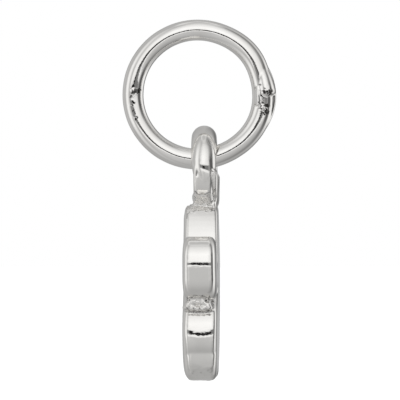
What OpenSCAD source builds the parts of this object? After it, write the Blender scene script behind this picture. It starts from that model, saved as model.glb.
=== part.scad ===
// Paw print pendant: a cast silver paw charm hanging by its eye from a soldered round jump ring.
// Millimetres, +Z up. The chain runs through the jump ring along X and the paw faces -Y.
// The origin is where the pendant hangs: the inner top of the jump ring.

/* [Jump ring] */
// Diameter of the round wire
wire_d = 1.0; // [0.9:0.05:1.0]
// Outside diameter of the ring
ring_od = 7.15; // [7.0:0.05:8.0]
// How far the bead of solder stands out past the ring's outer edge
solder_rise = 0.2; // [0.1:0.05:0.3]
// Diameter of the bead of solder
solder_d = 1.2; // [1.1:0.05:1.4]
// Where the ring is soldered, as an angle above its widest point at the back
solder_angle = 4.5; // [0:0.5:20]

/* [Eye] */
// Outside diameter of the cast eye
eye_od = 4.0; // [3.9:0.05:4.1]
// Diameter of the hole through the eye
eye_hole_d = 2.0; // [1.9:0.05:2.1]
// Thickness of the eye from front to back
eye_t = 1.2; // [1.1:0.05:1.3]
// Space between the jump ring's wire and the top of the hole
eye_gap = 0.1; // [0.08:0.01:0.15]

/* [Paw] */
// Width over the outer toes
paw_w = 9.0; // [8.8:0.02:9.2]
// Height from the tops of the inner toes to the bottom of the pad
paw_h = 8.33; // [8.2:0.01:8.5]
// Thickness of the pad from the flat back to the crown of its front
pad_t = 1.62; // [1.4:0.02:1.8]
// Thickness of the toes from the flat back to the crowns of their fronts
toe_t = 1.58; // [1.4:0.02:1.8]
// How far the flat back lies behind the jump ring's middle plane
back_y = 0.95; // [0.9:0.01:1.0]

/* [Rounding] */
// How far back from the front the polished edges start to round over
round_depth = 0.3; // [0.2:0.05:0.4]
// How far in from the outline that rounding reaches
round_reach = 0.4; // [0.3:0.05:0.65]
// Rise of each crown above the rounded edge
crown = 0.06; // [0.02:0.01:0.1]
// Rounding of the edge at the flat back
back_round = 0.2; // [0.1:0.01:0.25]

/* [Hidden] */

// The jump ring lies in the YZ plane with its inner top at the origin.
ring_r = (ring_od - wire_d) / 2;
ring_z = -(ring_od / 2 - wire_d);
wire_bottom_z = ring_z - ring_r;

// The eye lies in the XZ plane and hangs on the bottom of the wire.
eye_y = back_y - eye_t / 2;
eye_wall = (eye_od - eye_hole_d) / 2;
eye_z = wire_bottom_z + wire_d / 2 + eye_gap - eye_hole_d / 2;

// The inner toes tuck up under the eye, and all else in the paw is placed down from their tops.
toe_top = eye_z - 0.447 * eye_od;
pad_bottom = toe_top - paw_h;

// Each toe is drawn round a few discs: x, z and radius of each.
inner_toe = [[0.80, toe_top - 0.78, 0.78], [1.12, toe_top - 2.09, 1.14]];
outer_toe = [
    [paw_w / 2 - 1.13, toe_top - 2.57, 1.1],
    [paw_w / 2 - 1.10, toe_top - 2.78, 1.1],
    [paw_w / 2 - 1.20, toe_top - 3.36, 1.1],
    [2.95, toe_top - 3.41, 1.05]
];

// The pad is a dome under the toes that widens to each side, with two lobes and a middle at the bottom.
pad_dome = [0, toe_top - 4.91, 2.1];
side_lobe = [1.85, pad_bottom + 2.168, 1.75];
low_lobe = [1.976, pad_bottom + 1.3, 1.3];
low_middle = [0, pad_bottom + 1.868, 1.7];

// The ground between the toes and the pad lies this far behind the toes' crowns.
ground_drop = 0.65;
ground_r = 2.3;
ground_z = toe_top - 3.2;

// The cast neck fills the corner where the eye meets the inner toes, and runs to a point between them.
neck_top = [1.10, eye_z - 1.3];
neck_bottom = [1.24, toe_top - 0.2];
neck_point = toe_top - 1.0;
neck_t = 1.1;

// Points along a quarter of an ellipse from angle a to angle b about a centre.
function quarter(centre, reach, depth, a, b, steps) =
    [for (i = [0 : steps])
        let (turn = a + (b - a) * i / steps)
        [centre[0] + reach * cos(turn), centre[1] + depth * sin(turn)]];

// A round pillow with its back flat on z = 0, a small round at the back edge and a crowned front.
module pillow(r, t) {
    edge_z = t - crown;
    rotate_extrude($fn = 36)
        polygon(concat(
            [[0, 0]],
            quarter([r - back_round, back_round], back_round, back_round, -90, 0, 2),
            quarter([r - round_reach, edge_z - round_depth], round_reach, round_depth, 0, 90, 5),
            [[(r - round_reach) / 2, t - crown / 4], [0, t]]
        ));
}

// Puts a pillow on the back plane at a disc [x, z, radius], its crown towards the front.
module pillow_at(disc, t) {
    translate([disc[0], back_y, disc[1]])
        rotate([90, 0, 0])
            pillow(disc[2], t);
}

// Pillows at some discs and all that lies between them.
module egg(discs, t) {
    hull()
        for (disc = discs)
            pillow_at(disc, t);
}

// A flat plate in the XZ plane that reaches t forward from the back plane.
module plate(t) {
    translate([0, back_y, 0])
        rotate([90, 0, 0])
            linear_extrude(t)
                children();
}

// The cast eye: a ring of rounded section with its axis along Y.
module eye() {
    flat = eye_t - eye_wall;
    translate([0, eye_y, eye_z])
        rotate([90, 0, 0])
            rotate_extrude($fn = 96)
                translate([(eye_od - eye_wall) / 2, 0])
                    union() {
                        for (side = [-1, 1])
                            translate([0, side * flat / 2])
                                circle(d = eye_wall, $fn = 48);
                        square([eye_wall, flat], center = true);
                    }
}

// The solid corner of metal between the eye and the tops of the inner toes.
module neck() {
    translate([0, -(eye_t - neck_t) / 2, 0])
        plate(neck_t)
            polygon([
                [-neck_top[0], neck_top[1]],
                [neck_top[0], neck_top[1]],
                [neck_bottom[0], neck_bottom[1]],
                [0, neck_point],
                [-neck_bottom[0], neck_bottom[1]]
            ]);
}

// The lower ground that joins the toes and the pad behind their rounded fronts.
module ground() {
    plate(toe_t - ground_drop)
        translate([0, ground_z])
            circle(r = ground_r, $fn = 96);
}

module toes() {
    for (side = [0, 1])
        mirror([side, 0, 0]) {
            egg(inner_toe, toe_t);
            egg(outer_toe, toe_t);
        }
}

module pad() {
    egg([pad_dome, side_lobe, [-side_lobe[0], side_lobe[1], side_lobe[2]]], pad_t);
    pillow_at(low_middle, pad_t);
    for (side = [0, 1])
        mirror([side, 0, 0])
            pillow_at(low_lobe, pad_t);
}

// One casting: eye, neck, four toes and the pad.
module paw_charm() {
    color("silver")
        union() {
            eye();
            neck();
            ground();
            toes();
            pad();
        }
}

// Round wire bent to a circle, closed by a bead of solder.
module jump_ring() {
    bead_r = ring_od / 2 + solder_rise - solder_d / 2;
    color("gainsboro")
        translate([0, 0, ring_z])
            rotate([0, 90, 0])
                union() {
                    rotate_extrude($fn = 128)
                        translate([ring_r, 0])
                            circle(d = wire_d, $fn = 64);
                    rotate([0, 0, 90 + solder_angle])
                        translate([bead_r, 0, 0])
                            sphere(d = solder_d, $fn = 64);
                }
}

jump_ring();
paw_charm();
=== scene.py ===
"""Paw print pendant: polished silver, a soldered jump ring and a cast paw charm.

Pieces are modelled a thousand times their size, one unit to a millimetre, and brought down at the end.
"""

import math

import bpy
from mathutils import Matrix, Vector, noise


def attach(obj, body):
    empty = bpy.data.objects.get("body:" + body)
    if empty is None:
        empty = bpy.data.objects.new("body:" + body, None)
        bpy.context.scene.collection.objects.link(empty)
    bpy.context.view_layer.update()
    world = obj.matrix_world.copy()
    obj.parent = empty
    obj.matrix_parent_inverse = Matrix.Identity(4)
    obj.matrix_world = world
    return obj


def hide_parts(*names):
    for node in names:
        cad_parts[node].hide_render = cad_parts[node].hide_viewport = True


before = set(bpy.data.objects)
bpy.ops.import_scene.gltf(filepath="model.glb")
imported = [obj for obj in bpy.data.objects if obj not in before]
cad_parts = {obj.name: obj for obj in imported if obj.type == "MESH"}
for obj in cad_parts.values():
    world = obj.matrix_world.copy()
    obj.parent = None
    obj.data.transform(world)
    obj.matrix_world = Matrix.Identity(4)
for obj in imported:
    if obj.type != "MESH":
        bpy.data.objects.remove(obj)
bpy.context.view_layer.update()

bl_info = {
    "name": "Paw print pendant",
    "version": (1, 0, 0),
    "blender": (4, 5, 0),
    "location": "View3D > Sidebar > Pendant",
    "description": "Makes the jump ring, the cast paw charm and the studio round them",
    "category": "Add Mesh",
}

MM = 0.001
PER_MM = 1000.0
# Places nearer than this, in millimetres, count as the same.
TOUCH = 0.001
FRONT = Vector((0, -1, 0))
REAR = Vector((0, 1, 0))

# The jump ring, in millimetres and degrees. Angles go up from the ring's widest point at the back.
RING_CENTRE_Z = -2.575
# How far the ring leans to one side as it hangs.
RING_LEAN = 2.5
# Each bead of solder: its angle, its distance from the ring's centre, its tilt, and its half sizes across the
# ring's plane, away from the centre, up the wire and down the wire.
SOLDER_BEADS = [
    (4.5, 3.16, 4.5, 0.5, 0.56, 0.6, 0.5),
    (2.0, 3.3, 13.0, 0.62, 0.45, 1.5, 0.32),
    (-8.5, 2.93, 2.0, 0.58, 0.15, 1.5, 0.35),
]
# The ridge of solder down the outside of the joint is an arc round a centre of its own: the angle at its
# middle, how far it goes to each side of that, how far its centre is set towards the joint, and its radii.
RIDGE_ANGLE = -5.0
RIDGE_REACH = 38.0
RIDGE_SHIFT = 1.0
RIDGE_OUTER = 2.755
RIDGE_HALF = 0.17
# Where closing the joint has left the ring out of round: the angle, how far out and how far that reaches.
SHAPED_BY_HAND = [(-24, 0.085, 2.7), (38, 0.07, 2.2)]
# Scuffs on the seam opposite the joint: y, z and size of each patch.
SCUFFS = [(-3.0, -2.38, 0.26), (-3.1, -3.0, 0.22), (-2.95, -3.7, 0.25)]
# Pits and flecks in the solder, the same way, and where they and the seam get painted dark reflections.
FLECKS = [(3.26, -3.3, 0.36), (3.38, -2.42, 0.3)]
PAINTED_PIT_REFLECTIONS = [
    (3.24, -3.4, 0.24), (3.3, -3.15, 0.16), (3.45, -2.5, 0.2), (3.2, -2.47, 0.17), (3.02, -2.65, 0.1),
    (2.98, -2.15, 0.1), (-2.98, -2.46, 0.22), (-2.8, -2.42, 0.18), (-3.14, -2.7, 0.12), (-3.12, -3.05, 0.1),
    (-3.04, -3.4, 0.1), (-2.92, -3.75, 0.09),
]
# How strong a patch is at its middle.
PATCH_PEAK = 1.6

# The paw, in millimetres: x, z and radius of the discs that each toe and lobe is drawn round.
BACK_Y = 0.95
EYE_Y = 0.32
EYE_Z = -6.05
INNER_TOE = [(0.92, -8.618, 0.78), (1.12, -9.928, 1.14)]
OUTER_TOE = [(3.36, -10.41, 1.1), (3.39, -10.62, 1.1), (3.29, -11.2, 1.1), (2.95, -11.25, 1.05)]
PAD_BODY = [(0.0, -12.72, 2.1), (1.85, -13.81, 1.75), (-1.85, -13.81, 1.75)]
PAD_LOW = [(1.976, -14.85, 1.3)]
PAD_MIDDLE = [(0.0, -14.3, 1.7)]
GROUND = [(0.0, -11.038, 2.3)]
NECK = [(0.98, -7.3, 0.12), (1.12, -8.0, 0.12), (0.0, -8.72, 0.12)]
# How each edge is rounded: how far in from the outline, and how far along the wall.
INNER_TOE_EDGES = {"front": (0.3, 0.18), "back": (0.2, 0.13)}
OUTER_TOE_EDGES = {"front": (0.3, 0.28), "back": (0.5, 0.3)}
PAD_BODY_EDGES = {"front": (0.36, 0.3), "back": (0.34, 0.2)}
PAD_LOW_EDGES = {"front": (0.6, 0.35), "back": (0.34, 0.2)}
# How far the inner toes' walls bulge, and over how many discs.
TOE_BULGE = 0.065
BULGE_STEPS = 6
# How far the low lobes' crowns lie behind the pad's, and the ground behind the toes'.
LOW_DROP = 0.02
GROUND_DROP = 0.65
# Where the neck starts and ends from front to back.
NECK_FRONT_Y = -0.17
NECK_BACK_Y = BACK_Y - 0.05
# The middle of the back's slight dome, and how far the dome reaches.
DOME_Z = -12.0
DOME_REACH = 4.8
# Rolls of metal left as cast in the corners between the outer toes and the pad: x, z, how far their ends dip,
# half their length, how far they stand out, and half their height.
ROUGH_ROLLS = [(3.3, -12.34, 0.22, 0.64, 0.44, 0.28), (3.3, -12.7, -0.03, 0.72, 0.46, 0.17)]
ROLL_Y = 0.08
KNOBS = 5
KNOB_HALF = 0.2
# Soft swells on the walls: the middle, how far out and how far that reaches.
WALL_SWELLS = [((3.5, 0.2, -14.4), 0.05, 0.9)]
# Ragged bands on the outer walls: y and z of the middle, half the length and half the height. They lie
# outside an x and not on the back, and are this strong at their middle.
WALL_SCUFFS = [(0.1, -10.66, 0.9, 0.12), (0.15, -13.86, 0.9, 0.16)]
OUTER_WALL_X = 3
BACK_FACE = 0.7
SCUFF_PEAK = 1.5
# The skin left as cast at the neck: its middle, and how far it reaches. It reaches further up away from the
# eye's middle plane, and further down at the front: the most, and the growth with the square of the distance.
NECK_SKIN_Z = -7.73
NECK_SKIN_REACH = 0.46
FURTHER_UP = (0.2, 1.2)
FURTHER_DOWN = (0.35, 4.5)
FURTHER_DOWN_Y = -0.2
# The same skin in the corners beside the pad: from which x, the y and z of its middle, and its reach along
# both.
CORNER_X = 1.6
CORNER_MIDDLE = (0.15, -12.5)
CORNER_REACH = (0.78, 0.46)
# How quickly the skin turns rough inside its edge, and how that edge wanders.
SKIN_RISE = 3
EDGE_WANDER = 0.7
EDGE_DETAIL = 5
# A face that looks to the front or back more squarely than this is polished.
POLISHED_FACE = 0.6
# Sides of each toe's and lobe's discs, how squarely a flat end looks along its axis, and the turn between
# faces that count as one.
SIDES = 96
SQUARELY = 0.999
FLAT_TURN = math.radians(0.4)
# The steps of each rounding, and how far over a lobe its crown reaches.
BACK_STEPS = 7
FRONT_STEPS = 8
CROWN_STEPS = 4
CROWN_SHARE = 0.9


# Selecting, joining and finishing


def object_mode():
    if bpy.context.object and bpy.context.object.mode != "OBJECT":
        bpy.ops.object.mode_set(mode="OBJECT")


def deselect():
    object_mode()
    bpy.ops.object.select_all(action="DESELECT")


def activate(piece):
    deselect()
    piece.select_set(True)
    bpy.context.view_layer.objects.active = piece


def edit(piece, kind):
    """Makes a piece ready for picking its VERT, EDGE or FACE: none is selected, in object mode."""
    activate(piece)
    bpy.ops.object.mode_set(mode="EDIT")
    bpy.ops.mesh.select_mode(type=kind)
    bpy.ops.mesh.select_all(action="DESELECT")
    bpy.ops.object.mode_set(mode="OBJECT")


def pick(piece, kind, test):
    """Selects the vertices or faces of a piece that pass a test, and leaves it in edit mode."""
    edit(piece, kind)
    items = piece.data.polygons if kind == "FACE" else piece.data.vertices
    for item in items:
        item.select = test(item)
    bpy.ops.object.mode_set(mode="EDIT")


def join(pieces, name):
    deselect()
    for piece in pieces:
        piece.select_set(True)
    bpy.context.view_layer.objects.active = pieces[0]
    if len(pieces) > 1:
        bpy.ops.object.join()
    joined = bpy.context.active_object
    joined.name = name
    joined.data.name = name
    return joined


def settle(piece):
    """Puts a piece's place, turn and size into its mesh."""
    activate(piece)
    bpy.ops.object.transform_apply(location=True, rotation=True, scale=True)
    return piece


def modify(piece, kind, **settings):
    """Adds a modifier and applies it."""
    activate(piece)
    modifier = piece.modifiers.new(kind.title(), kind)
    for name, value in settings.items():
        setattr(modifier, name, value)
    bpy.ops.object.modifier_apply(modifier=modifier.name)


def weigh(piece, name, rule):
    """Makes a vertex group whose weights come from each vertex's place and normal."""
    group = piece.vertex_groups.new(name=name)
    for vertex in piece.data.vertices:
        weight = rule(vertex.co, vertex.normal)
        if weight > 0:
            group.add([vertex.index], min(1.0, weight), "REPLACE")


def paint(piece, name, rule):
    """Keeps a rule's value at each vertex as an attribute for the material."""
    attribute = piece.data.attributes.new(name, "FLOAT", "POINT")
    for vertex, item in zip(piece.data.vertices, attribute.data):
        item.value = rule(vertex.co, vertex.normal)


def push(piece, place, move, reach, falloff="INVERSE_SQUARE", connected=True):
    """Pushes the surface near a place, less and less up to reach away."""
    nearest = min(piece.data.vertices, key=lambda v: (v.co - Vector(place)).length_squared).index
    pick(piece, "VERT", lambda v: v.index == nearest)
    bpy.ops.transform.translate(
        value=move,
        orient_type="GLOBAL",
        use_proportional_edit=True,
        use_proportional_connected=connected,
        proportional_edit_falloff=falloff,
        proportional_size=reach,
    )
    object_mode()


def smooth(piece, passes, group="", rule=None):
    """Smooths a piece all over, or in a group whose weights a rule gives."""
    if rule:
        weigh(piece, group, rule)
    modify(piece, "SMOOTH", factor=0.5, iterations=passes, vertex_group=group)


def roughen(piece, group, size, depth, strength, rule=None):
    """Moves the skin in and out by a procedural cloud, all over or in a group whose weights a rule gives."""
    if rule:
        weigh(piece, group, rule)
    texture = bpy.data.textures.new(f"{piece.name}_{group or 'all'}_{size}", "CLOUDS")
    texture.noise_scale = size
    texture.noise_depth = depth
    texture.noise_basis = "ORIGINAL_PERLIN"
    modify(
        piece,
        "DISPLACE",
        texture=texture,
        texture_coords="LOCAL",
        mid_level=0.5,
        strength=strength,
        vertex_group=group,
    )


def to_size(piece):
    """Brings a piece from one unit a millimetre to metres, with smooth shading."""
    piece.scale = (MM, MM, MM)
    settle(piece)
    edit(piece, "FACE")
    bpy.ops.object.mode_set(mode="EDIT")
    bpy.ops.mesh.select_all(action="SELECT")
    bpy.ops.mesh.normals_make_consistent(inside=False)
    activate(piece)
    bpy.ops.object.shade_smooth()


# Toes and lobes


def bulged(discs, bulge, steps):
    """Discs between the first two, each a little larger, so that the wall between them is crowned."""
    (ax, az, ar), (bx, bz, br) = discs
    between = []
    for i in range(1, steps):
        s = i / steps
        between.append((ax + (bx - ax) * s, az + (bz - az) * s, ar + (br - ar) * s + 4 * bulge * s * (1 - s)))
    return [discs[0], *between, discs[1]]


def mirrored(discs):
    return [(-x, z, r) for x, z, r in discs]


def block(name, discs, back, front):
    """The straight-walled solid round some discs, from its back to its front."""
    rounds = []
    for x, z, r in discs:
        bpy.ops.mesh.primitive_cylinder_add(
            vertices=SIDES,
            radius=r,
            depth=back - front,
            location=(x, (back + front) / 2, z),
            rotation=(math.pi / 2, 0, 0),
        )
        rounds.append(settle(bpy.context.active_object))
    piece = join(rounds, name)
    pick(piece, "FACE", lambda face: True)
    bpy.ops.mesh.convex_hull(delete_unused=True, use_existing_faces=False, join_triangles=False)
    bpy.ops.mesh.select_all(action="SELECT")
    bpy.ops.mesh.dissolve_limited(angle_limit=FLAT_TURN)
    object_mode()
    return piece


def round_cap(piece, towards, reach, depth, steps):
    """Rounds a flat end: insets it step by step along a quarter of an ellipse."""
    pick(piece, "FACE", lambda face: face.normal.dot(towards) > SQUARELY)
    for i in range(steps):
        a, b = (math.pi / 2 * k / steps for k in (i, i + 1))
        bpy.ops.mesh.inset(
            thickness=reach * (math.cos(a) - math.cos(b)),
            depth=depth * (math.sin(b) - math.sin(a)),
            use_even_offset=True,
        )
    object_mode()


def crown_cap(piece, towards, reach, rise, steps):
    """Crowns a flat end: insets and lifts it step by step along a shallow dome."""
    pick(piece, "FACE", lambda face: face.normal.dot(towards) > SQUARELY)
    for i in range(steps):
        a, b = i / steps, (i + 1) / steps
        bpy.ops.mesh.inset(
            thickness=reach / steps,
            depth=rise * ((1 - (1 - b) ** 2) - (1 - (1 - a) ** 2)),
            use_even_offset=True,
        )
    object_mode()


def pillow(name, discs, thickness, front, back):
    """A lobe with a rounded, crowned front and a rounded back: reach and depth of each rounding."""
    crown = bpy.context.scene.pendant_look.crown * PER_MM
    front_y = BACK_Y - (thickness - crown - front[1])
    piece = block(name, discs, BACK_Y - back[1], front_y)
    round_cap(piece, REAR, *back, BACK_STEPS)
    round_cap(piece, FRONT, *front, FRONT_STEPS)
    smallest = min(r for x, z, r in discs) - front[0]
    crown_cap(piece, FRONT, smallest * CROWN_SHARE, crown, CROWN_STEPS)
    return piece


# Places on a piece


def above(value, edge, reach):
    """How far a value lies above an edge, as a share of a reach."""
    return (value - edge) / reach


def below(value, edge, reach):
    """How far a value lies below an edge, as a share of a reach."""
    return (edge - value) / reach


def near(value, middle, reach):
    """How near a value lies to a middle: 1 there, and 0 a reach away."""
    return 1 - abs(value - middle) / reach


def patches(co, places):
    """How deep a place on the ring lies in some round patches."""
    return max(0, *(PATCH_PEAK * (1 - math.hypot(co.y - y, co.z - z) / size) for y, z, size in places))


def scuffed_seam(co, normal):
    return patches(co, SCUFFS)


def flecked_solder(co, normal):
    return patches(co, FLECKS)


def dark_pits(co, normal):
    """Where the near face of the ring gets painted dark reflections."""
    return patches(co, PAINTED_PIT_REFLECTIONS) if normal.x > 0 else 0


def toe_tips(co, normal):
    """The outer ends of the outer toes."""
    return above(abs(co.x), edge=3.6, reach=0.8)


def pad_bottom(co, normal):
    return below(co.z, edge=-15.2, reach=0.5)


def low_fronts(co, normal):
    """The fronts of the low lobes, where they run into the pad."""
    return min(
        below(co.z, edge=-13.9, reach=0.6),
        below(co.y, edge=-0.35, reach=0.1),
        below(normal.y, edge=-0.5, reach=0.3),
    )


def whole_neck(co, normal):
    return 1.5 * near(co.z, middle=-7.75, reach=0.4)


def neck_walls(co, normal):
    """The neck's walls alone: its front and back are polished."""
    return SKIN_RISE * near(co.z, middle=-7.68, reach=0.36) if abs(normal.y) < POLISHED_FACE else 0


def under_wall(co, normal):
    """The walls under the low lobes."""
    return min(below(co.z, edge=-15.3, reach=0.2), below(abs(normal.y), edge=0.7, reach=0.3))


def wall_scuffs(co, normal):
    """Where polishing has left ragged bands on the outer walls."""
    if abs(co.x) < OUTER_WALL_X or normal.y > BACK_FACE:
        return 0
    return max(
        SCUFF_PEAK * (1 - math.hypot((co.y - y) / wide, (co.z - z) / tall))
        for y, z, wide, tall in WALL_SCUFFS
    )


def further(extra, away):
    """How much further the cast skin reaches, growing with the square of how far away a place is."""
    most, growth = extra
    return min(most, growth * away**2)


def as_cast(co, normal):
    """How rough the skin was left: at the neck, and in the corner between the outer toes and the pad."""
    if abs(normal.y) > POLISHED_FACE:
        return 0
    up = NECK_SKIN_REACH + further(FURTHER_UP, co.y - EYE_Y)
    down = NECK_SKIN_REACH + further(FURTHER_DOWN, max(0, FURTHER_DOWN_Y - co.y))
    neck = SKIN_RISE * (1 - max(above(co.z, NECK_SKIN_Z, up), below(co.z, NECK_SKIN_Z, down)))
    corner = -1
    if abs(co.x) > CORNER_X:
        y, z = CORNER_MIDDLE
        wide, tall = CORNER_REACH
        corner = SKIN_RISE * (1 - math.hypot((co.z - z) / tall, (co.y - y) / wide))
    return min(1, max(0, max(neck, corner) + EDGE_WANDER * noise.noise(EDGE_DETAIL * co)))


# How the skins are roughened: the group, the size, detail and depth of the unevenness, and the rule for
# where, or none where it is all over.
RING_SKIN = [
    ("scuffed", 0.09, 2, 0.035, scuffed_seam),
    ("flecks", 0.1, 2, 0.06, flecked_solder),
    ("", 0.9, 1, 0.012),
]
PAW_SKIN = [
    ("as_cast", 0.1, 3, 0.16, as_cast),
    ("neck_skin", 0.11, 2, 0.2, neck_walls),
    ("wall_scuffs", 0.09, 2, 0.02, wall_scuffs),
    ("under_wall", 0.3, 1, 0.06, under_wall),
    ("", 1.0, 1, 0.016),
]
# Where the paw is softened after its lobes are fused: the passes, the group and the rule for where.
SOFTENED = [
    (20, "tips", toe_tips),
    (40, "bottom", pad_bottom),
    (80, "pad_front", low_fronts),
    (40, "neck", whole_neck),
]


# Procedural silver. Scales are in waves to a metre, and depths in metres.

DRAW_LINES = 16000
LINE_STRETCH = 0.0002
SPECKS = 14000
GRAINS = 11000
SKIN = 9000
WIRE_CLOUD = 900
CAST_CLOUD = 700
BUMP_DEPTH = 0.00002
# How strongly each pattern shows in the bumps, and how dull each place is.
WIRE_BUMP = 0.08
CAST_BUMP = 0.12
LINE_RELIEF = 0.5
POLISH_RELIEF = 0.9
RECESS_RELIEF = 3.0
SKIN_RELIEF = 16.0
PIT_DULLNESS = 0.4
RECESS_DULLNESS = 0.2
SKIN_DULLNESS = 0.22
# How much sooner a grain turns to painted dark reflection in a pit.
PIT_SHARE = 0.19
# How polishing has stretched the fine marks on the cast.
POLISH_STRETCH = (1, 0.35, 1)
# Which part of a cloud or of the grains counts.
CLOUD_RANGE = (0.3, 0.7)
PIT_RANGE = (0.6, 0.7)
GRAIN_RANGE = (0.4, 0.6)
# Which values of the recess attribute are dull and which get painted shade, and which values of the cast
# skin's attribute its painted dark rim of shade runs between.
DULL_RECESS = (0.2, 0.33)
SHADED_RECESS = (0.12, 0.27)
RIM_START = (0.1, 0.35)
RIM_END = (0.45, 0.7)


def feed(tree, value, socket):
    """Sets a socket to a number or a colour, or links another node's output to it."""
    if isinstance(value, (int, float, tuple)):
        socket.default_value = value
    else:
        tree.links.new(value, socket)


def value_node(tree, operation, *values):
    node = tree.nodes.new("ShaderNodeMath")
    node.operation = operation
    for socket, value in zip(node.inputs, values):
        feed(tree, value, socket)
    return node.outputs[0]


def plus(tree, first, second):
    return value_node(tree, "ADD", first, second)


def times(tree, first, second):
    return value_node(tree, "MULTIPLY", first, second)


def larger(tree, first, second):
    return value_node(tree, "MAXIMUM", first, second)


def split(tree, vector):
    """The three parts of a vector."""
    node = tree.nodes.new("ShaderNodeSeparateXYZ")
    tree.links.new(vector, node.inputs[0])
    return node.outputs["X"], node.outputs["Y"], node.outputs["Z"]


def attribute_node(tree, name):
    node = tree.nodes.new("ShaderNodeAttribute")
    node.attribute_name = name
    return node.outputs["Fac"]


def noise_node(tree, vector, scale, detail, roughness=0.5):
    node = tree.nodes.new("ShaderNodeTexNoise")
    node.inputs["Scale"].default_value = scale
    node.inputs["Detail"].default_value = detail
    node.inputs["Roughness"].default_value = roughness
    tree.links.new(vector, node.inputs["Vector"])
    return node.outputs["Fac"]


def stretched(tree, vector, stretch):
    node = tree.nodes.new("ShaderNodeMapping")
    node.inputs["Scale"].default_value = stretch
    tree.links.new(vector, node.inputs["Vector"])
    return node.outputs["Vector"]


def range_node(tree, value, low, high, to_low, to_high):
    node = tree.nodes.new("ShaderNodeMapRange")
    node.interpolation_type = "SMOOTHSTEP"
    tree.links.new(value, node.inputs["Value"])
    for name, number in (("From Min", low), ("From Max", high), ("To Min", to_low), ("To Max", to_high)):
        node.inputs[name].default_value = number
    return node.outputs["Result"]


def bump_node(tree, height, strength):
    node = tree.nodes.new("ShaderNodeBump")
    node.inputs["Strength"].default_value = strength
    node.inputs["Distance"].default_value = BUMP_DEPTH
    tree.links.new(height, node.inputs["Height"])
    return node.outputs["Normal"]


def tint_node(tree, value, dark, light):
    """A colour that drifts between two with a cloud."""
    node = tree.nodes.new("ShaderNodeValToRGB")
    for element, position, colour in zip(node.color_ramp.elements, CLOUD_RANGE, (dark, light)):
        element.position = position
        element.color = (*colour, 1)
    tree.links.new(value, node.inputs["Fac"])
    return node.outputs["Color"]


def mix_node(tree, share, first, second, how="MIX"):
    node = tree.nodes.new("ShaderNodeMix")
    node.data_type = "RGBA"
    node.blend_type = how
    for name, value in (("Factor", share), ("A", first), ("B", second)):
        feed(tree, value, node.inputs[name])
    return node.outputs["Result"]


def new_silver(name):
    material = bpy.data.materials.new(name)
    material.use_nodes = True
    tree = material.node_tree
    shader = tree.nodes["Principled BSDF"]
    shader.inputs["Metallic"].default_value = 1.0
    place = tree.nodes.new("ShaderNodeTexCoord").outputs["Object"]
    return material, tree, shader, place


def wire_silver():
    """Drawn silver wire: fine lines along it, small specks, and painted dark reflections in the pits."""
    colours = bpy.context.scene.pendant_ring
    material, tree, shader, place = new_silver("wire_silver")
    across, outward, height = split(tree, place)
    up = value_node(tree, "SUBTRACT", height, RING_CENTRE_Z * MM)
    squares = [value_node(tree, "POWER", part, 2) for part in (outward, up)]
    radius = value_node(tree, "SQRT", plus(tree, *squares))
    angle = value_node(tree, "ARCTAN2", up, outward)
    along = tree.nodes.new("ShaderNodeCombineXYZ")
    for part, socket in zip((across, radius, times(tree, angle, LINE_STRETCH)), along.inputs):
        tree.links.new(part, socket)
    draw_lines = noise_node(tree, along.outputs[0], DRAW_LINES, detail=2)
    specks = noise_node(tree, place, SPECKS, detail=3, roughness=0.6)
    surface = plus(tree, times(tree, draw_lines, LINE_RELIEF), specks)
    tree.links.new(bump_node(tree, surface, WIRE_BUMP), shader.inputs["Normal"])
    cloud = noise_node(tree, place, WIRE_CLOUD, detail=2)
    pits = attribute_node(tree, "dark_pits")
    grains = noise_node(tree, place, GRAINS, detail=2, roughness=0.6)
    grains = plus(tree, grains, times(tree, pits, PIT_SHARE))
    # Grains in the pits are painted dark: a painted dark reflection, not a stain.
    dark = range_node(tree, grains, *PIT_RANGE, to_low=0, to_high=1)
    dark = times(tree, dark, range_node(tree, pits, 0, 0.3, to_low=0, to_high=1))
    sheen = range_node(tree, cloud, *CLOUD_RANGE, to_low=0.03, to_high=0.06)
    tree.links.new(plus(tree, sheen, times(tree, dark, PIT_DULLNESS)), shader.inputs["Roughness"])
    clean = tint_node(tree, cloud, colours.silver, colours.highlight)
    tree.links.new(mix_node(tree, dark, clean, (*colours.pit_reflection_paint, 1)), shader.inputs["Base Color"])
    return material


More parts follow.
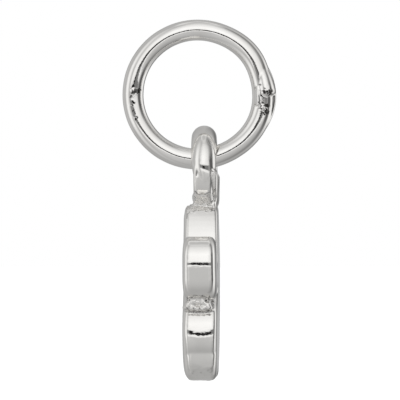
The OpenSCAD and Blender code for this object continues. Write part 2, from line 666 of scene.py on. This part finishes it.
def cast_silver():
    """Cast silver: polished faces, duller recesses with painted shade, and coarse skin left as cast, with a
    painted dark rim.
    """
    colours = bpy.context.scene.pendant_paw
    material, tree, shader, place = new_silver("cast_silver")
    hollow = attribute_node(tree, "recess")
    recess = range_node(tree, hollow, *DULL_RECESS, to_low=1, to_high=0)
    rough = attribute_node(tree, "as_cast_skin")
    cloud = noise_node(tree, place, CAST_CLOUD, detail=3)
    sheen = range_node(tree, cloud, *CLOUD_RANGE, to_low=0.04, to_high=0.08)
    dull = larger(tree, times(tree, recess, RECESS_DULLNESS), times(tree, rough, SKIN_DULLNESS))
    tree.links.new(plus(tree, sheen, dull), shader.inputs["Roughness"])
    polish = noise_node(tree, stretched(tree, place, POLISH_STRETCH), SKIN, detail=3, roughness=0.55)
    skin = noise_node(tree, place, SKIN, detail=4, roughness=0.6)
    relief = larger(tree, times(tree, recess, RECESS_RELIEF), times(tree, rough, SKIN_RELIEF))
    surface = plus(tree, times(tree, polish, POLISH_RELIEF), times(tree, skin, relief))
    tree.links.new(bump_node(tree, surface, CAST_BUMP), shader.inputs["Normal"])
    clean = tint_node(tree, cloud, colours.silver, colours.highlight)
    # Painted shade: the deepest recesses are darkened.
    crease_shade = range_node(tree, hollow, *SHADED_RECESS, to_low=1, to_high=0)
    crease_shade = times(tree, crease_shade, range_node(tree, rough, 0, 1, to_low=1, to_high=0.2))
    # Painted shade: a dark line along the edge of the skin left as cast, where a crease would lie in shade.
    rim_shade = range_node(tree, rough, *RIM_START, to_low=0, to_high=1)
    rim_shade = times(tree, rim_shade, range_node(tree, rough, *RIM_END, to_low=1, to_high=0))
    grains = noise_node(tree, place, GRAINS, detail=2, roughness=0.6)
    grains = range_node(tree, grains, *GRAIN_RANGE, to_low=0.25, to_high=0.8)
    dark = times(tree, larger(tree, crease_shade, rim_shade), grains)
    tree.links.new(mix_node(tree, dark, clean, (*colours.painted_crease_shade, 1)), shader.inputs["Base Color"])
    return material


def finish_piece(piece, material, body, node):
    piece.data.materials.clear()
    piece.data.materials.append(material)
    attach(piece, body)
    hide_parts(node)


# The studio that the silver mirrors

# Greys by the height of the direction, at the front (+X) and at the rear, and where one turns to the other.
FRONT_SKY = [
    (-90, 165), (-75, 164), (-60, 172), (-45, 181), (-30, 186), (-14, 190), (-10.5, 205), (-9, 240),
    (-4.4, 246), (-3.7, 28), (5.2, 22), (6.2, 225), (10, 246), (25, 253), (36, 246), (48, 236), (60, 226),
    (70, 213), (80, 198), (90, 184),
]
REAR_SKY = [
    (-90, 165), (-67, 168), (-24, 158), (0, 165), (20, 176), (50, 178), (70, 178), (74, 218), (78, 218),
    (82, 188), (90, 184),
]
FRONT_FROM = (-0.1, 0.5)
# Greys round the horizon by the direction's turn from +X towards +Y, and how much they count.
SIDE_PANELS = [
    (-180, 180), (-165, 166), (-150, 166), (-124, 190), (-104, 180), (-87, 184), (-80, 222), (-73, 242),
    (-58, 243), (-48, 212), (-41, 182), (-36, 172), (-31, 190), (-24, 235), (45, 200), (54, 165), (62, 110),
    (70, 84), (84, 88), (92, 130), (99, 215), (106, 240), (122, 238), (134, 200), (144, 135), (156, 110),
    (167, 128), (174, 165), (180, 180),
]
SIDE_SHARE = [
    (-180, 1), (-40, 1), (-28, 0.3), (-14, 0.25), (-7, 0), (7, 0), (14, 0.25), (44, 0.3), (58, 1), (180, 1),
]
HEIGHT_SHARE = [(-90, 0), (-45, 0.2), (-30, 0.45), (-15, 1), (16, 1), (30, 0.45), (45, 0.2), (70, 0)]
# How the light above and below the horizon falls off to each side.
HIGH_SIDES = [
    (-180, 1), (-75, 1), (-55, 0.8), (-41, 0.66), (-29, 0.76), (-21, 0.86), (-10, 1), (15, 1), (24, 0.95),
    (38, 0.85), (51, 0.77), (62, 0.65), (75, 0.5), (86, 0.45), (98, 0.55), (112, 1), (180, 1),
]
HIGH_SHARE = [(-90, 0), (6, 0), (18, 1), (62, 1), (84, 0), (90, 0)]
LOW_SIDES = [(-180, 1), (10, 1), (40, 0.8), (60, 0.68), (110, 0.7), (150, 1), (180, 1)]
LOW_SHARE = [(-90, 0.6), (-60, 1), (-25, 1), (-14, 0), (90, 0)]
# The share of the light that polished silver gives back.
SILVER_SHARE = 0.93


def panel_light(grey):
    """The light of a panel that shows as this grey, 0 to 255, in the silver."""
    share = grey / 255
    light = share / 12.92 if share <= 0.04045 else ((share + 0.055) / 1.055) ** 2.4
    return light / SILVER_SHARE


def angle_ramp(tree, angle, reach, stops, light=float):
    """Values along an angle that runs from -reach to reach degrees."""
    spread = tree.nodes.new("ShaderNodeMapRange")
    tree.links.new(angle, spread.inputs["Value"])
    spread.inputs["From Min"].default_value = math.radians(-reach)
    spread.inputs["From Max"].default_value = math.radians(reach)
    node = tree.nodes.new("ShaderNodeValToRGB")
    elements = node.color_ramp.elements
    while len(elements) < len(stops):
        elements.new(0.5)
    for element, (degrees, value) in zip(elements, stops):
        element.position = (degrees + reach) / (2 * reach)
        shade = light(value)
        element.color = (shade, shade, shade, 1)
    tree.links.new(spread.outputs["Result"], node.inputs["Fac"])
    return node.outputs["Color"]


def make_world():
    """Soft panels and dark gaps that only the silver sees, and a white ground that only the camera sees."""
    world = bpy.data.worlds.new("studio")
    bpy.context.scene.world = world
    world.use_nodes = True
    tree = world.node_tree
    x, y, z = split(tree, tree.nodes.new("ShaderNodeTexCoord").outputs["Generated"])
    height = value_node(tree, "ARCSINE", z)
    turn = value_node(tree, "ARCTAN2", y, x)
    front = angle_ramp(tree, height, 90, FRONT_SKY, panel_light)
    rear = angle_ramp(tree, height, 90, REAR_SKY, panel_light)
    sky = mix_node(tree, range_node(tree, x, *FRONT_FROM, to_low=0, to_high=1), rear, front)
    for sides, share in ((HIGH_SIDES, HIGH_SHARE), (LOW_SIDES, LOW_SHARE)):
        fall = angle_ramp(tree, turn, 180, sides)
        sky = mix_node(tree, angle_ramp(tree, height, 90, share), sky, fall, "MULTIPLY")
    panels = angle_ramp(tree, turn, 180, SIDE_PANELS, panel_light)
    beside = angle_ramp(tree, turn, 180, SIDE_SHARE)
    level = angle_ramp(tree, height, 90, HEIGHT_SHARE)
    studio = mix_node(tree, times(tree, beside, level), sky, panels)
    mirrored_light = tree.nodes["Background"]
    tree.links.new(studio, mirrored_light.inputs["Color"])
    backdrop = tree.nodes.new("ShaderNodeBackground")
    backdrop.inputs["Color"].default_value = (1, 1, 1, 1)
    backdrop.inputs["Strength"].default_value = 1.0
    seen = tree.nodes.new("ShaderNodeLightPath").outputs["Is Camera Ray"]
    mix = tree.nodes.new("ShaderNodeMixShader")
    for socket, source in zip(mix.inputs, (seen, mirrored_light.outputs[0], backdrop.outputs[0])):
        tree.links.new(source, socket)
    tree.links.new(mix.outputs[0], tree.nodes["World Output"].inputs["Surface"])


def white_card():
    """The material of the matt, pale card under the pendant."""
    material = bpy.data.materials.new("white_card")
    material.use_nodes = True
    tree = material.node_tree
    shader = tree.nodes["Principled BSDF"]
    place = tree.nodes.new("ShaderNodeTexCoord").outputs["Object"]
    fibres = noise_node(tree, place, scale=900, detail=3)
    paper = tint_node(tree, fibres, dark=(0.93, 0.93, 0.93), light=(0.96, 0.96, 0.96))
    tree.links.new(paper, shader.inputs["Base Color"])
    shader.inputs["Roughness"].default_value = 0.9
    shader.inputs["Emission Color"].default_value = (1, 1, 1, 1)
    shader.inputs["Emission Strength"].default_value = 0.55
    return material


# The floor, the lamps and the camera, in metres. Each lamp: its name, place, size and power.
FLOOR_Z = -0.026
FLOOR_SIZE = 3.0
LAMPS = [("key", (0.10, -0.06, 0.16), 0.12, 0.25), ("fill", (-0.12, -0.10, 0.10), 0.14, 0.12)]
LAMP_AIM = (0, 0, -0.008)
CAMERA_AIM = Vector((0, 0.119 * MM, -7.599 * MM))
CAMERA_TURN = 91.4
LENS = 600.0
SENSOR = 36.0
# The photo is this many pixels wide, at this many to a millimetre.
PHOTO_WIDTH = 400
PHOTO_SCALE = 21


def area_light(name, place, size, power):
    bpy.ops.object.light_add(type="AREA", location=place)
    lamp = bpy.context.active_object
    lamp.name = name
    lamp.data.size = size
    lamp.data.energy = power
    lamp.rotation_mode = "QUATERNION"
    lamp.rotation_quaternion = (Vector(LAMP_AIM) - Vector(place)).to_track_quat("-Z", "Y")
    lamp.visible_glossy = False
    lamp.visible_camera = False


# Settings


class PendantRing(bpy.types.PropertyGroup):
    """Sizes and colours of the jump ring."""

    wire: bpy.props.FloatProperty(
        name="Wire", description="Diameter of the round wire", default=1.0 * MM, unit="LENGTH", precision=5
    )
    outside: bpy.props.FloatProperty(
        name="Outside",
        description="Outside diameter of the ring",
        default=7.15 * MM,
        unit="LENGTH",
        precision=5,
    )
    grain: bpy.props.FloatProperty(
        name="Mesh grain",
        description="Size of the finished mesh's faces",
        default=0.04 * MM,
        unit="LENGTH",
        precision=6,
    )
    silver: bpy.props.FloatVectorProperty(
        name="Silver",
        description="The polished wire where it is dimmest",
        default=(0.9, 0.885, 0.86),
        subtype="COLOR",
    )
    highlight: bpy.props.FloatVectorProperty(
        name="Highlight",
        description="The polished wire where it is brightest",
        default=(0.94, 0.93, 0.91),
        subtype="COLOR",
    )
    # Painted dark reflection: the colour painted into the pits of the solder and on the seam.
    pit_reflection_paint: bpy.props.FloatVectorProperty(
        name="Dark polish",
        description="What stays in the pits of the solder",
        default=(0.06, 0.058, 0.055),
        subtype="COLOR",
    )


class PendantPaw(bpy.types.PropertyGroup):
    """Sizes and colours of the cast paw."""

    toe: bpy.props.FloatProperty(
        name="Toe thickness",
        description="From the flat back to a toe's crown",
        default=1.58 * MM,
        unit="LENGTH",
        precision=5,
    )
    pad: bpy.props.FloatProperty(
        name="Pad thickness",
        description="From the flat back to the pad's crown",
        default=1.62 * MM,
        unit="LENGTH",
        precision=5,
    )
    back_rise: bpy.props.FloatProperty(
        name="Back rise",
        description="How far polishing leaves the back crowned",
        default=0.1 * MM,
        unit="LENGTH",
        precision=5,
    )
    grain: bpy.props.FloatProperty(
        name="Mesh grain",
        description="Size of the finished mesh's faces",
        default=0.049 * MM,
        unit="LENGTH",
        precision=6,
    )
    silver: bpy.props.FloatVectorProperty(
        name="Silver",
        description="The polished cast where it is dimmest",
        default=(0.9, 0.885, 0.86),
        subtype="COLOR",
    )
    highlight: bpy.props.FloatVectorProperty(
        name="Highlight",
        description="The polished cast where it is brightest",
        default=(0.94, 0.93, 0.905),
        subtype="COLOR",
    )
    # Painted shade: the dark colour painted in the recesses and along the rim of the skin left as cast.
    painted_crease_shade: bpy.props.FloatVectorProperty(
        name="Cast skin",
        description="The grains in the recesses and at the rim of the skin left as cast",
        default=(0.16, 0.155, 0.15),
        subtype="COLOR",
    )


class PendantLook(bpy.types.PropertyGroup):
    """Rounding shared by the paw's toes and lobes."""

    crown: bpy.props.FloatProperty(
        name="Crown", description="Rise of each crowned front", default=0.05 * MM, unit="LENGTH", precision=5
    )


class PENDANT_OT_studio(bpy.types.Operator):
    """Pale floor, studio light and the camera"""

    bl_idname = "pendant.studio"
    bl_label = "Studio"

    def execute(self, context):
        bpy.ops.mesh.primitive_plane_add(size=FLOOR_SIZE, location=(0, 0, FLOOR_Z))
        floor = bpy.context.active_object
        floor.name = "floor"
        floor.data.materials.append(white_card())
        floor.visible_glossy = False
        make_world()
        for lamp in LAMPS:
            area_light(*lamp)
        distance = PHOTO_WIDTH / PHOTO_SCALE * MM * LENS / SENSOR
        turn = math.radians(CAMERA_TURN)
        back = Vector((math.sin(turn), -math.cos(turn), 0))
        bpy.ops.object.camera_add(location=CAMERA_AIM + back * distance)
        camera = bpy.context.active_object
        camera.name = "camera"
        camera.rotation_mode = "QUATERNION"
        camera.rotation_quaternion = (-back).to_track_quat("-Z", "Y")
        camera.data.lens = LENS
        camera.data.sensor_width = SENSOR
        camera.data.clip_start = 0.001
        camera.data.clip_end = 3.0
        context.scene.camera = camera
        context.scene.view_settings.view_transform = "Standard"
        return {"FINISHED"}


# The jump ring


def ring_point(angle, distance):
    """A point in the ring's plane, in millimetres."""
    turn = math.radians(angle)
    return Vector((0, distance * math.cos(turn), RING_CENTRE_Z + distance * math.sin(turn)))


def solder_bead(name, angle, distance, tilt, across, out, up, down):
    """A drop of solder, longer on one side of its middle than on the other."""
    bpy.ops.mesh.primitive_uv_sphere_add(segments=48, ring_count=24, radius=1)
    bead = settle(bpy.context.active_object)
    bead.name = name
    pick(bead, "VERT", lambda v: v.co.z < -TOUCH)
    bpy.ops.transform.resize(value=(1, 1, down / up), center_override=(0, 0, 0))
    object_mode()
    bead.scale = (across, out, up)
    bead.location = ring_point(angle, distance)
    bead.rotation_euler = (math.radians(tilt), 0, 0)
    return settle(bead)


def solder_ridge():
    """The run of solder down the outside of the joint: part of a thin torus with its ends closed."""
    bpy.ops.mesh.primitive_torus_add(
        major_radius=RIDGE_OUTER - RIDGE_HALF,
        minor_radius=RIDGE_HALF,
        major_segments=240,
        minor_segments=24,
        location=ring_point(RIDGE_ANGLE, RIDGE_SHIFT),
        rotation=(0, math.pi / 2, 0),
    )
    ridge = settle(bpy.context.active_object)
    for side in (1, -1):
        turn = math.radians(RIDGE_ANGLE + RIDGE_REACH * side)
        pick(ridge, "FACE", lambda face: True)
        bpy.ops.mesh.bisect(
            plane_co=(0, 0, RING_CENTRE_Z),
            plane_no=(0, -math.sin(turn) * side, math.cos(turn) * side),
            use_fill=True,
            clear_outer=True,
        )
        object_mode()
    return ridge


class PENDANT_OT_jump_ring(bpy.types.Operator):
    """Round wire bent to a circle and soldered shut"""

    bl_idname = "pendant.jump_ring"
    bl_label = "Jump ring"

    def execute(self, context):
        sizes = context.scene.pendant_ring
        wire = sizes.wire * PER_MM
        middle = (sizes.outside - sizes.wire) / 2 * PER_MM
        deselect()
        bpy.ops.mesh.primitive_torus_add(
            major_radius=middle,
            minor_radius=wire / 2,
            major_segments=240,
            minor_segments=64,
            location=(0, 0, RING_CENTRE_Z),
            rotation=(0, math.pi / 2, 0),
        )
        ring = settle(bpy.context.active_object)
        for angle, distance, reach in SHAPED_BY_HAND:
            outward = ring_point(angle, distance) - ring_point(angle, 0)
            push(ring, ring_point(angle, middle + wire / 2), outward, reach, "SMOOTH", False)
        beads = [solder_bead(f"bead_{i}", *bead) for i, bead in enumerate(SOLDER_BEADS)]
        ring = join([ring, solder_ridge(), *beads], "jump_ring_silver")
        modify(ring, "REMESH", mode="VOXEL", voxel_size=sizes.grain * PER_MM)
        smooth(ring, 6)
        for skin in RING_SKIN:
            roughen(ring, *skin)
        smooth(ring, 1)
        paint(ring, "dark_pits", dark_pits)
        pick(ring, "VERT", lambda v: True)
        bpy.ops.transform.rotate(
            value=math.radians(RING_LEAN),
            orient_axis="Y",
            orient_type="GLOBAL",
            center_override=(0, 0, RING_CENTRE_Z),
        )
        object_mode()
        to_size(ring)
        finish_piece(ring, wire_silver(), "ring", "jump_ring")
        return {"FINISHED"}


# The paw charm


def spun(name, section, centre):
    """Spins a section once round an axis along Y, closes the seam and turns the faces outwards."""
    pick(section, "VERT", lambda v: True)
    bpy.ops.mesh.spin(steps=120, angle=math.tau, center=centre, axis=(0, 1, 0))
    bpy.ops.mesh.select_all(action="SELECT")
    bpy.ops.mesh.remove_doubles(threshold=0.0005)
    bpy.ops.mesh.normals_make_consistent(inside=False)
    object_mode()
    section.name = name
    return section


def cast_eye():
    """The eye: a section, fuller outside than inside, with the front of its lower half pressed back."""
    half = 0.6
    inside = 0.36
    middle = 1.4
    pressed = (1.5, EYE_Y - half, EYE_Z - 1.2)
    press = (0, 0.2, 0.03)
    press_reach = 1.6
    place = (middle, EYE_Y, EYE_Z)
    bpy.ops.mesh.primitive_circle_add(vertices=48, radius=half, location=place, fill_type="NOTHING")
    section = settle(bpy.context.active_object)
    pick(section, "VERT", lambda v: v.co.x < middle - TOUCH)
    bpy.ops.transform.resize(value=(inside / half, 1, 1), center_override=place)
    object_mode()
    eye = spun("eye", section, (0, EYE_Y, EYE_Z))
    for side in (1, -1):
        x, y, z = pressed
        push(eye, (side * x, y, z), press, press_reach, "SMOOTH", False)
    return eye


def eye_cheek():
    """The flat outer wall of the eye's lower half: a strap with rounded corners, round a lower centre."""
    drop = 0.3
    outer = 1.9
    inner = 1.38
    width = 0.88
    corner = 0.16
    forward = 0.035
    place = ((outer + inner) / 2, EYE_Y - forward, EYE_Z - drop)
    bpy.ops.mesh.primitive_plane_add(size=1, location=place)
    section = bpy.context.active_object
    section.scale = (outer - inner, width, 1)
    settle(section)
    pick(section, "VERT", lambda v: True)
    bpy.ops.mesh.bevel(offset=corner, segments=6, affect="VERTICES")
    bpy.ops.mesh.select_all(action="SELECT")
    bpy.ops.mesh.delete(type="ONLY_FACE")
    object_mode()
    return spun("eye_cheek", section, (0, EYE_Y, place[2]))


def eye_backing():
    """The strap of metal behind the eye's lower half, which stands a little past the paw's flat back."""
    deep = 0.17
    tall = 0.42
    middle = 1.46
    drop = 0.05
    past_back = 0.08
    cut_drop = 0.15
    cut_slope = (0, 0.85, 0.53)
    place = (middle, BACK_Y + past_back - deep, EYE_Z - drop)
    bpy.ops.mesh.primitive_circle_add(vertices=32, radius=1, location=place, fill_type="NOTHING")
    section = bpy.context.active_object
    section.scale = (tall, deep, 1)
    settle(section)
    strap = spun("eye_backing", section, (0, EYE_Y, place[2]))
    pick(strap, "FACE", lambda face: True)
    cut = (0, place[1], EYE_Z - cut_drop)
    bpy.ops.mesh.bisect(plane_co=cut, plane_no=cut_slope, use_fill=True, clear_outer=True)
    bpy.ops.mesh.select_all(action="SELECT")
    bpy.ops.mesh.normals_make_consistent(inside=False)
    object_mode()
    return strap


def rough_roll(name, side, x, z, dip, half, across, tall):
    """A knobbly roll of metal left as cast, made of knobs in a row from the front of the wall to its back."""
    knobs = []
    for i in range(KNOBS):
        s = 2 * i / (KNOBS - 1) - 1
        place = (side * x, ROLL_Y + s * (half - KNOB_HALF), z - dip * s * s)
        bpy.ops.mesh.primitive_uv_sphere_add(segments=32, ring_count=16, radius=1, location=place)
        knob = bpy.context.active_object
        knob.scale = (across, KNOB_HALF, tall)
        knobs.append(settle(knob))
    return join(knobs, name)


def mark_recesses(paw):
    """Paints the corners that a polishing wheel can't reach, for the material: duller there, with painted
    shade in the deepest.
    """
    paw.data.color_attributes.new("recess", "FLOAT_COLOR", "POINT")
    activate(paw)
    bpy.ops.object.mode_set(mode="VERTEX_PAINT")
    bpy.ops.paint.vertex_color_dirt(
        blur_strength=1,
        blur_iterations=3,
        clean_angle=math.pi * 0.55,
        dirt_angle=math.radians(60),
        normalize=False,
    )
    object_mode()


class PENDANT_OT_paw_charm(bpy.types.Operator):
    """The casting: its eye, neck, four toes and the pad, in one solid"""

    bl_idname = "pendant.paw_charm"
    bl_label = "Paw charm"

    def execute(self, context):
        sizes = context.scene.pendant_paw
        toe = sizes.toe * PER_MM
        pad = sizes.pad * PER_MM
        low = pad - LOW_DROP
        deselect()
        inner = bulged(INNER_TOE, TOE_BULGE, BULGE_STEPS)
        parts = [cast_eye(), eye_cheek(), eye_backing()]
        for side, turn in (("right", list), ("left", mirrored)):
            parts.append(pillow(f"inner_toe_{side}", turn(inner), toe, **INNER_TOE_EDGES))
            parts.append(pillow(f"outer_toe_{side}", turn(OUTER_TOE), toe, **OUTER_TOE_EDGES))
            parts.append(pillow(f"pad_low_{side}", turn(PAD_LOW), low, **PAD_LOW_EDGES))
        parts.append(pillow("pad_body", PAD_BODY, pad, **PAD_BODY_EDGES))
        parts.append(pillow("pad_middle", PAD_MIDDLE, low, **PAD_LOW_EDGES))
        parts.append(block("ground", GROUND, BACK_Y, BACK_Y - toe + GROUND_DROP))
        parts.append(block("neck", [*NECK, *mirrored(NECK)], NECK_BACK_Y, NECK_FRONT_Y))
        for side in (1, -1):
            parts += [rough_roll(f"roll_{side}_{i}", side, *roll) for i, roll in enumerate(ROUGH_ROLLS)]
        paw = join(parts, "paw_charm_silver")
        modify(paw, "REMESH", mode="VOXEL", voxel_size=sizes.grain * PER_MM)
        smooth(paw, 5)
        push(paw, (0, BACK_Y, DOME_Z), (0, sizes.back_rise * PER_MM, 0), DOME_REACH)
        for (x, y, z), swell, reach in WALL_SWELLS:
            for side in (1, -1):
                push(paw, (side * x, y, z), (side * swell, 0, 0), reach, "SMOOTH")
        for place in SOFTENED:
            smooth(paw, *place)
        for skin in PAW_SKIN:
            roughen(paw, *skin)
        smooth(paw, 1)
        paint(paw, "as_cast_skin", as_cast)
        to_size(paw)
        mark_recesses(paw)
        finish_piece(paw, cast_silver(), "paw", "paw_charm")
        return {"FINISHED"}


class PENDANT_PT_panel(bpy.types.Panel):
    bl_label = "Paw print pendant"
    bl_idname = "PENDANT_PT_panel"
    bl_space_type = "VIEW_3D"
    bl_region_type = "UI"
    bl_category = "Pendant"

    def draw(self, context):
        scene = context.scene
        groups = {"Jump ring": scene.pendant_ring, "Paw": scene.pendant_paw, "Rounding": scene.pendant_look}
        for title, group in groups.items():
            box = self.layout.box()
            box.label(text=title)
            for name in group.__annotations__:
                box.prop(group, name)
        for operator in OPERATORS:
            self.layout.operator(operator.bl_idname)


OPERATORS = (PENDANT_OT_studio, PENDANT_OT_jump_ring, PENDANT_OT_paw_charm)
GROUPS = (PendantRing, PendantPaw, PendantLook)
CLASSES = (*GROUPS, *OPERATORS, PENDANT_PT_panel)


def register():
    for each in CLASSES:
        bpy.utils.register_class(each)
    bpy.types.Scene.pendant_ring = bpy.props.PointerProperty(type=PendantRing)
    bpy.types.Scene.pendant_paw = bpy.props.PointerProperty(type=PendantPaw)
    bpy.types.Scene.pendant_look = bpy.props.PointerProperty(type=PendantLook)


def unregister():
    del bpy.types.Scene.pendant_look
    del bpy.types.Scene.pendant_paw
    del bpy.types.Scene.pendant_ring
    for each in reversed(CLASSES):
        bpy.utils.unregister_class(each)


def main():
    register()
    bpy.ops.pendant.studio()
    bpy.ops.pendant.jump_ring()
    bpy.ops.pendant.paw_charm()


if __name__ == "__main__":
    main()
